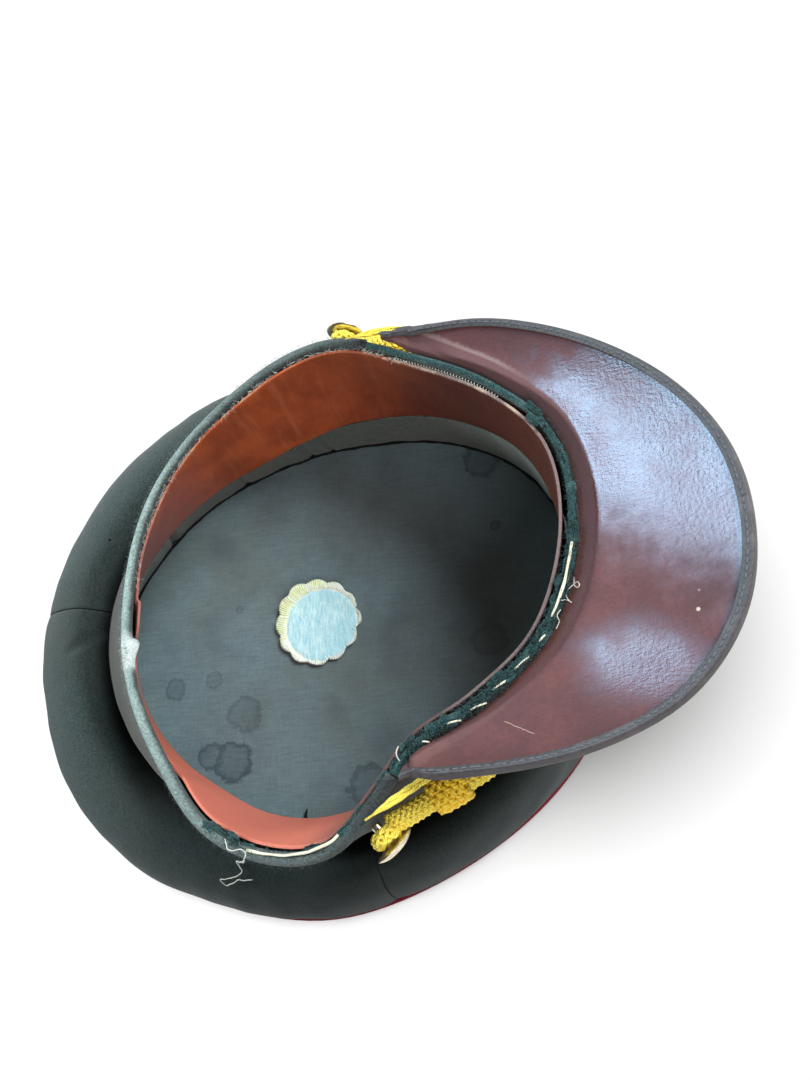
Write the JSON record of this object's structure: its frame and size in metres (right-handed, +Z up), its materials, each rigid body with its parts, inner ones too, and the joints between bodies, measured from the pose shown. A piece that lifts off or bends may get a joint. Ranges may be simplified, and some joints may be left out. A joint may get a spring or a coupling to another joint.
{
  "type": "peaked cap",
  "caption": "Worn peaked cap with a flaring soft crown, lying upside down on it: leather sweatband, cloth lining, bound stiff peak and a plaited gold chin cord between brass buttons.",
  "frame": {"origin": "middle of the crown's flat top, on the surface that the cap lies on", "axes": "+X to the front of the cap, where the peak is; +Z up, out of the opening of the upturned cap; -Y to the wearer's left"},
  "size_m": [0.2982, 0.2507, 0.1161],
  "materials": {
    "wool": "dark grey-green wool twill, matt",
    "faded_wool": "worn, faded wool edge with a short nap",
    "torn_cloth": "torn dark teal cloth",
    "red_piping": "red wool piping",
    "reed": "bare cream reed",
    "sweatband_leather": "worn orange-brown leather",
    "lining": "grey slubbed satin with old stains",
    "patch": "pale blue satin with an off-white scalloped edge",
    "peak_oilcloth": "maroon oilcloth with a fine weave, glossy",
    "peak_leather": "black patent leather",
    "binding_leather": "dark brown stitched leather binding",
    "gold_thread": "plaited gold thread, satin",
    "button_brass": "pale worn brass"
  },
  "bodies": {
    "root": {"crown_top": "wool", "crown_piping": "red_piping", "crown_front_right": "wool", "crown_back_right": "wool", "crown_back_left": "wool", "crown_front_left": "wool", "band": "wool", "rim_roll": "faded_wool", "rim_welt": "torn_cloth", "reed_front": "reed", "reed_side": "reed", "sweatband": "sweatband_leather", "lining_top": "lining", "lining_side": "lining", "lining_patch": "patch", "peak_under": "peak_oilcloth", "peak_upper": "peak_leather", "peak_binding": "binding_leather", "chin_cord": "gold_thread", "slide_left": "gold_thread", "slide_right": "gold_thread", "peak_lace": "gold_thread", "button_left": "button_brass", "button_right": "button_brass"}
  },
  "joints": []
}
